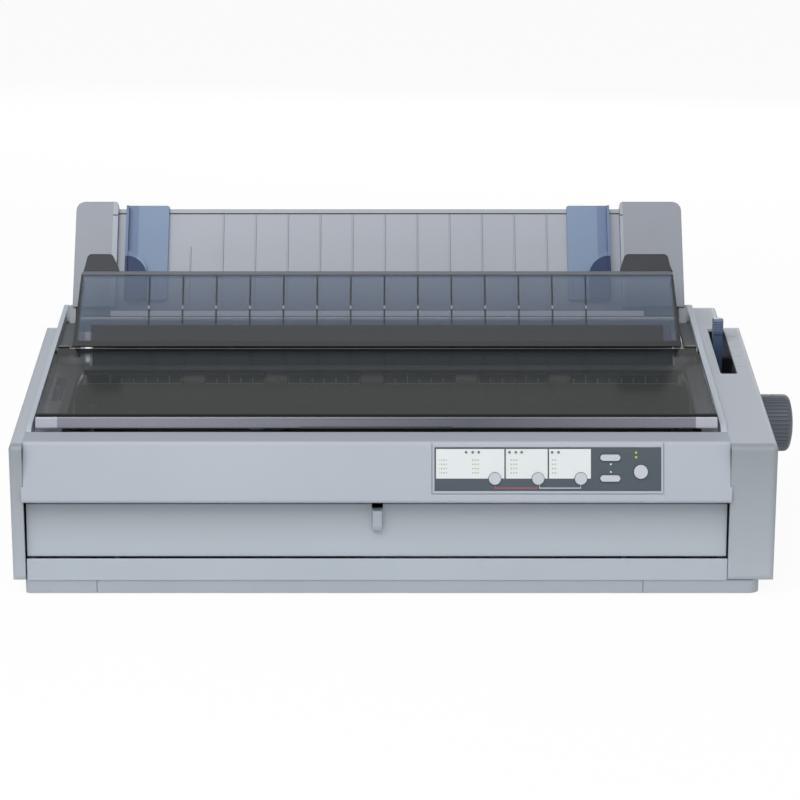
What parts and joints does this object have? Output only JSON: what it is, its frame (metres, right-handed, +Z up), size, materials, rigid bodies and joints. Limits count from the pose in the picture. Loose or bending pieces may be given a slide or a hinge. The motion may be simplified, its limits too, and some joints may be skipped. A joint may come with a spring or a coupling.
{
  "type": "dot matrix printer",
  "caption": "Wide-carriage dot matrix printer with a smoked hinged cover, a folding sheet guide with sliding edge guides, a feed knob, a release lever and the printing mechanism inside.",
  "frame": {"origin": "middle of the whole printer at table height", "axes": "+X to the operator's right along the platen, +Y to the back, +Z up"},
  "size_m": [0.639, 0.4012, 0.2568],
  "materials": {
    "housing_plastic": "moulded fine grain",
    "light_grey_plastic": "moulded fine grain",
    "smoked_plastic": "smoked, half clear",
    "slate_smoked_plastic": "smoked slate",
    "dark_plastic": "moulded",
    "black_plastic": "moulded",
    "blue_plastic": "moulded",
    "dark_blue_plastic": "moulded",
    "panel_slate": "printed film",
    "button_grey": "moulded",
    "lamp_green": "clear tinted",
    "natural_plastic": "moulded gear plastic",
    "roller_rubber": "ground rubber",
    "grey_rubber": "ground rubber",
    "bright_steel": "ground",
    "sheet_steel": "zinc plated",
    "motor_black": "black painted",
    "pinion_brass": "cut brass",
    "head_aluminium": "cast, finned",
    "board_green": "soldered board"
  },
  "bodies": {
    "housing": {"base_tray": "housing_plastic", "rubber_feet": "roller_rubber", "left_side_cover": "housing_plastic", "right_side_cover": "housing_plastic", "upper_housing": "housing_plastic", "front_fascia": "housing_plastic", "front_sill": "housing_plastic", "rear_panel": "housing_plastic", "control_panel": "panel_slate", "status_leds": "lamp_green", "cover_hinge_rod": "bright_steel", "side_ledges": "dark_plastic", "left_frame_plate": "sheet_steel", "right_frame_plate": "sheet_steel", "mechanism_tray": "dark_plastic", "paper_ramp": "dark_plastic", "circuit_board": "board_green", "power_supply": "sheet_steel", "power_inlet": "black_plastic", "feed_motor": "motor_black", "tractor_guide_rod": "bright_steel", "carriage_rod": "bright_steel", "carriage_motor": "motor_black", "drive_belt": "roller_rubber", "tension_unit": "dark_plastic"},
    "front_cover": {"front_cover": "housing_plastic"},
    "left_round_button": {"left_round_button": "button_grey"},
    "middle_round_button": {"middle_round_button": "button_grey"},
    "right_round_button": {"right_round_button": "button_grey"},
    "lower_oblong_button": {"lower_oblong_button": "button_grey"},
    "upper_oblong_button": {"upper_oblong_button": "button_grey"},
    "large_round_button": {"large_round_button": "button_grey"},
    "printer_cover": {"printer_cover": "smoked_plastic"},
    "sheet_cover": {"sheet_guide_cover": "slate_smoked_plastic", "cover_end_stops": "dark_plastic"},
    "sheet_guide": {"sheet_guide": "light_grey_plastic"},
    "left_edge_guide": {"left_edge_guide": "blue_plastic"},
    "right_edge_guide": {"right_edge_guide": "blue_plastic"},
    "platen": {"platen_roller": "roller_rubber", "platen_shaft": "bright_steel", "platen_gear": "natural_plastic", "paper_feed_knob": "dark_plastic"},
    "idler_gear": {"feed_idler_gear": "natural_plastic"},
    "pinion": {"feed_pinion": "pinion_brass"},
    "tractor_shaft": {"tractor_drive_shaft": "bright_steel"},
    "left_tractor": {"left_tractor": "black_plastic"},
    "right_tractor": {"right_tractor": "black_plastic"},
    "left_sprocket": {"left_sprocket": "natural_plastic"},
    "right_sprocket": {"right_sprocket": "natural_plastic"},
    "left_flap": {"left_tractor_flap": "black_plastic"},
    "right_flap": {"right_tractor_flap": "black_plastic"},
    "carriage": {"carriage": "black_plastic", "print_head": "head_aluminium", "ribbon_cartridge": "black_plastic"},
    "ribbon_knob": {"ribbon_knob": "blue_plastic"},
    "belt_pulley": {"belt_pulley": "natural_plastic"},
    "idler_pulley": {"idler_pulley": "natural_plastic"},
    "tension_rollers": {"tension_rollers": "grey_rubber"},
    "release_lever": {"release_lever": "dark_blue_plastic"},
    "gap_lever": {"gap_lever": "blue_plastic"}
  },
  "joints": [
    {"name": "printer_cover_hinge", "type": "hinge", "parent": "housing", "child": "printer_cover", "pos_m": [-0.021, -0.009, 0.15293], "axis": [-1, 0, 0], "range_deg": [0, 100]},
    {"name": "sheet_cover_hinge", "type": "hinge", "parent": "housing", "child": "sheet_cover", "pos_m": [-0.021, 0, 0.15053], "axis": [-1, 0, 0], "range_deg": [0, 28]},
    {"name": "sheet_guide_hinge", "type": "hinge", "parent": "housing", "child": "sheet_guide", "pos_m": [-0.021, 0.0685, 0.1616], "axis": [-1, 0, 0], "range_deg": [0, 47.5]},
    {"name": "left_edge_guide_slide", "type": "slide", "parent": "sheet_guide", "child": "left_edge_guide", "axis": [1, 0, 0], "range_m": [-0.006, 0.16]},
    {"name": "right_edge_guide_slide", "type": "slide", "parent": "sheet_guide", "child": "right_edge_guide", "axis": [1, 0, 0], "range_m": [-0.16, 0.006]},
    {"name": "front_cover_hinge", "type": "hinge", "parent": "housing", "child": "front_cover", "pos_m": [-0.021, -0.1855, 0.036], "axis": [1, 0, 0], "range_deg": [0, 80]},
    {"name": "left_round_button_press", "type": "slide", "parent": "housing", "child": "left_round_button", "axis": [0, 0.9626, -0.271], "range_m": [0, 0.0012], "stiffness_N_per_m": 400},
    {"name": "middle_round_button_press", "type": "slide", "parent": "housing", "child": "middle_round_button", "axis": [0, 0.9626, -0.271], "range_m": [0, 0.0012], "stiffness_N_per_m": 400},
    {"name": "right_round_button_press", "type": "slide", "parent": "housing", "child": "right_round_button", "axis": [0, 0.9626, -0.271], "range_m": [0, 0.0012], "stiffness_N_per_m": 400},
    {"name": "lower_oblong_button_press", "type": "slide", "parent": "housing", "child": "lower_oblong_button", "axis": [0, 0.9626, -0.271], "range_m": [0, 0.0012], "stiffness_N_per_m": 400},
    {"name": "upper_oblong_button_press", "type": "slide", "parent": "housing", "child": "upper_oblong_button", "axis": [0, 0.9626, -0.271], "range_m": [0, 0.0012], "stiffness_N_per_m": 400},
    {"name": "large_round_button_press", "type": "slide", "parent": "housing", "child": "large_round_button", "axis": [0, 0.9626, -0.271], "range_m": [0, 0.0012], "stiffness_N_per_m": 400},
    {"name": "platen_turn", "type": "hinge", "parent": "housing", "child": "platen", "pos_m": [-0.021, 0.015, 0.084], "axis": [1, 0, 0], "continuous": true},
    {"name": "idler_gear_turn", "type": "hinge", "parent": "housing", "child": "idler_gear", "pos_m": [-0.021, 0.0752, 0.084], "axis": [1, 0, 0], "continuous": true},
    {"name": "pinion_turn", "type": "hinge", "parent": "housing", "child": "pinion", "pos_m": [-0.021, -0.01166, 0.05734], "axis": [1, 0, 0], "continuous": true},
    {"name": "tractor_shaft_turn", "type": "hinge", "parent": "housing", "child": "tractor_shaft", "pos_m": [-0.021, 0.1354, 0.084], "axis": [1, 0, 0], "continuous": true},
    {"name": "left_tractor_slide", "type": "slide", "parent": "housing", "child": "left_tractor", "axis": [1, 0, 0], "range_m": [-0.03, 0.12]},
    {"name": "right_tractor_slide", "type": "slide", "parent": "housing", "child": "right_tractor", "axis": [1, 0, 0], "range_m": [-0.12, 0.03]},
    {"name": "left_sprocket_turn", "type": "hinge", "parent": "left_tractor", "child": "left_sprocket", "pos_m": [-0.226, 0.1354, 0.084], "axis": [1, 0, 0], "continuous": true},
    {"name": "right_sprocket_turn", "type": "hinge", "parent": "right_tractor", "child": "right_sprocket", "pos_m": [0.166, 0.1354, 0.084], "axis": [1, 0, 0], "continuous": true},
    {"name": "left_flap_hinge", "type": "hinge", "parent": "left_tractor", "child": "left_flap", "pos_m": [-0.2387, 0.137, 0.097], "axis": [0, -1, 0], "range_deg": [0, 105]},
    {"name": "right_flap_hinge", "type": "hinge", "parent": "right_tractor", "child": "right_flap", "pos_m": [0.1787, 0.137, 0.097], "axis": [0, 1, 0], "range_deg": [0, 105]},
    {"name": "carriage_slide", "type": "slide", "parent": "housing", "child": "carriage", "axis": [1, 0, 0], "range_m": [-0.045, 0.325]},
    {"name": "ribbon_knob_turn", "type": "hinge", "parent": "carriage", "child": "ribbon_knob", "pos_m": [-0.133, -0.075, 0.104], "axis": [0, 0, 1], "continuous": true},
    {"name": "belt_pulley_turn", "type": "hinge", "parent": "housing", "child": "belt_pulley", "pos_m": [-0.259, -0.061, 0.043], "axis": [0, 0, 1], "continuous": true},
    {"name": "idler_pulley_turn", "type": "hinge", "parent": "housing", "child": "idler_pulley", "pos_m": [0.201, -0.061, 0.043], "axis": [0, 0, 1], "continuous": true},
    {"name": "tension_rollers_turn", "type": "hinge", "parent": "housing", "child": "tension_rollers", "pos_m": [-0.021, -0.011, 0.13], "axis": [1, 0, 0], "continuous": true},
    {"name": "release_lever_hinge", "type": "hinge", "parent": "housing", "child": "release_lever", "pos_m": [0.2545, 0.014, 0.1], "axis": [1, 0, 0], "range_deg": [-6, 42]},
    {"name": "gap_lever_hinge", "type": "hinge", "parent": "housing", "child": "gap_lever", "pos_m": [-0.295, -0.069, 0.1], "axis": [-1, 0, 0], "range_deg": [0, 30]}
  ],
  "couplings": [
    {"joint": "idler_gear_turn", "follows": "platen_turn", "ratio": -1},
    {"joint": "pinion_turn", "follows": "platen_turn", "ratio": -4},
    {"joint": "tractor_shaft_turn", "follows": "platen_turn", "ratio": 1},
    {"joint": "left_sprocket_turn", "follows": "platen_turn", "ratio": 1},
    {"joint": "right_sprocket_turn", "follows": "platen_turn", "ratio": 1},
    {"joint": "belt_pulley_turn", "follows": "carriage_slide", "rad_per_m": 112.36},
    {"joint": "idler_pulley_turn", "follows": "carriage_slide", "rad_per_m": 112.36}
  ]
}
